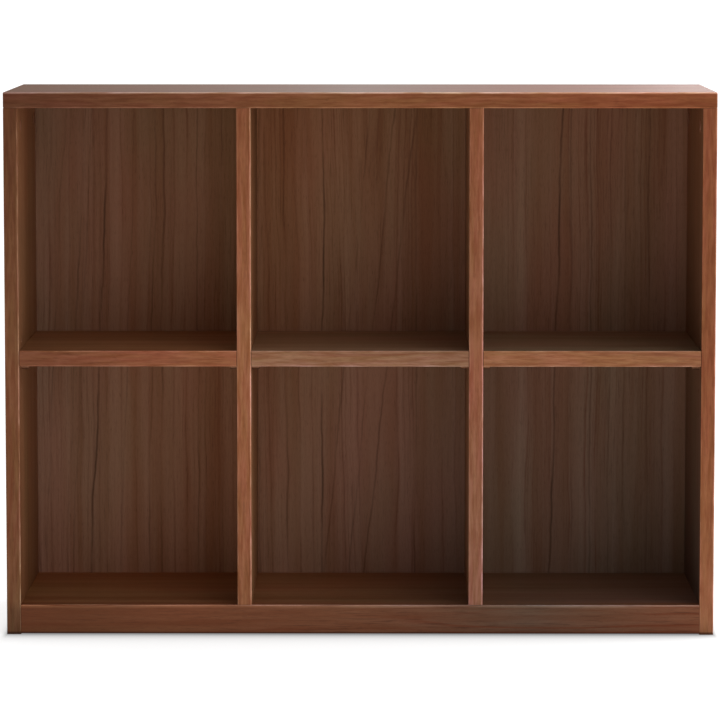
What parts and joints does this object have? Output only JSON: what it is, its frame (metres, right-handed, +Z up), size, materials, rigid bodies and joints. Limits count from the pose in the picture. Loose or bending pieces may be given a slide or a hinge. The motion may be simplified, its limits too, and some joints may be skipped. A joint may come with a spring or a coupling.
{
  "type": "bookcase",
  "caption": "Low open bookcase with a full-width top, upright sides and dividers, a plinth, inset backs and lift-off shelves on pins.",
  "frame": {"origin": "on the floor, at the middle of the case's width and depth", "axes": "+X to the right as seen from the front, +Y from front to back, +Z up"},
  "size_m": [0.9, 0.3, 0.69],
  "materials": {
    "case_veneer": "satin walnut veneer, grain along the board",
    "shelf_veneer": "satin walnut veneer, grain from side to side",
    "back_veneer": "matt walnut veneer, grain upright",
    "hidden_wood": "plain stained wood",
    "beech": "plain beech",
    "pin_steel": "light bronze-plated steel",
    "bolt_steel": "zinc-plated steel",
    "cam_zinc": "cast zinc",
    "cap_plastic": "moulded brown plastic"
  },
  "bodies": {
    "case": {"top_panel": "case_veneer", "left_side_panel": "case_veneer", "left_divider": "case_veneer", "right_divider": "case_veneer", "right_side_panel": "case_veneer", "bottom_panel": "case_veneer", "front_plinth": "case_veneer", "rear_rail": "hidden_wood", "left_batten": "hidden_wood", "right_batten": "hidden_wood", "left_back": "back_veneer", "middle_back": "back_veneer", "right_back": "back_veneer", "dowels": "beech", "cam_bolts": "bolt_steel", "cam_locks": "cam_zinc", "cam_caps": "cap_plastic", "divider_screws": "bolt_steel"},
    "left_shelf": {"left_shelf": "shelf_veneer"},
    "middle_shelf": {"middle_shelf": "shelf_veneer"},
    "right_shelf": {"right_shelf": "shelf_veneer"},
    "left_bay_pin_front_left": {"left_bay_pin_front_left": "pin_steel"},
    "left_bay_pin_front_right": {"left_bay_pin_front_right": "pin_steel"},
    "left_bay_pin_rear_left": {"left_bay_pin_rear_left": "pin_steel"},
    "left_bay_pin_rear_right": {"left_bay_pin_rear_right": "pin_steel"},
    "middle_bay_pin_front_left": {"middle_bay_pin_front_left": "pin_steel"},
    "middle_bay_pin_front_right": {"middle_bay_pin_front_right": "pin_steel"},
    "middle_bay_pin_rear_left": {"middle_bay_pin_rear_left": "pin_steel"},
    "middle_bay_pin_rear_right": {"middle_bay_pin_rear_right": "pin_steel"},
    "right_bay_pin_front_left": {"right_bay_pin_front_left": "pin_steel"},
    "right_bay_pin_front_right": {"right_bay_pin_front_right": "pin_steel"},
    "right_bay_pin_rear_left": {"right_bay_pin_rear_left": "pin_steel"},
    "right_bay_pin_rear_right": {"right_bay_pin_rear_right": "pin_steel"}
  },
  "joints": [
    {"name": "lift_left_shelf", "type": "slide", "parent": "case", "child": "left_shelf", "axis": [0, 0, 1], "range_m": [0, 0.07]},
    {"name": "lift_middle_shelf", "type": "slide", "parent": "case", "child": "middle_shelf", "axis": [0, 0, 1], "range_m": [0, 0.07]},
    {"name": "lift_right_shelf", "type": "slide", "parent": "case", "child": "right_shelf", "axis": [0, 0, 1], "range_m": [0, 0.07]},
    {"name": "pull_left_bay_pin_front_left", "type": "slide", "parent": "case", "child": "left_bay_pin_front_left", "axis": [1, 0, 0], "range_m": [0, 0.01]},
    {"name": "pull_left_bay_pin_front_right", "type": "slide", "parent": "case", "child": "left_bay_pin_front_right", "axis": [-1, 0, 0], "range_m": [0, 0.01]},
    {"name": "pull_left_bay_pin_rear_left", "type": "slide", "parent": "case", "child": "left_bay_pin_rear_left", "axis": [1, 0, 0], "range_m": [0, 0.01]},
    {"name": "pull_left_bay_pin_rear_right", "type": "slide", "parent": "case", "child": "left_bay_pin_rear_right", "axis": [-1, 0, 0], "range_m": [0, 0.01]},
    {"name": "pull_middle_bay_pin_front_left", "type": "slide", "parent": "case", "child": "middle_bay_pin_front_left", "axis": [1, 0, 0], "range_m": [0, 0.01]},
    {"name": "pull_middle_bay_pin_front_right", "type": "slide", "parent": "case", "child": "middle_bay_pin_front_right", "axis": [-1, 0, 0], "range_m": [0, 0.01]},
    {"name": "pull_middle_bay_pin_rear_left", "type": "slide", "parent": "case", "child": "middle_bay_pin_rear_left", "axis": [1, 0, 0], "range_m": [0, 0.01]},
    {"name": "pull_middle_bay_pin_rear_right", "type": "slide", "parent": "case", "child": "middle_bay_pin_rear_right", "axis": [-1, 0, 0], "range_m": [0, 0.01]},
    {"name": "pull_right_bay_pin_front_left", "type": "slide", "parent": "case", "child": "right_bay_pin_front_left", "axis": [1, 0, 0], "range_m": [0, 0.01]},
    {"name": "pull_right_bay_pin_front_right", "type": "slide", "parent": "case", "child": "right_bay_pin_front_right", "axis": [-1, 0, 0], "range_m": [0, 0.01]},
    {"name": "pull_right_bay_pin_rear_left", "type": "slide", "parent": "case", "child": "right_bay_pin_rear_left", "axis": [1, 0, 0], "range_m": [0, 0.01]},
    {"name": "pull_right_bay_pin_rear_right", "type": "slide", "parent": "case", "child": "right_bay_pin_rear_right", "axis": [-1, 0, 0], "range_m": [0, 0.01]}
  ]
}
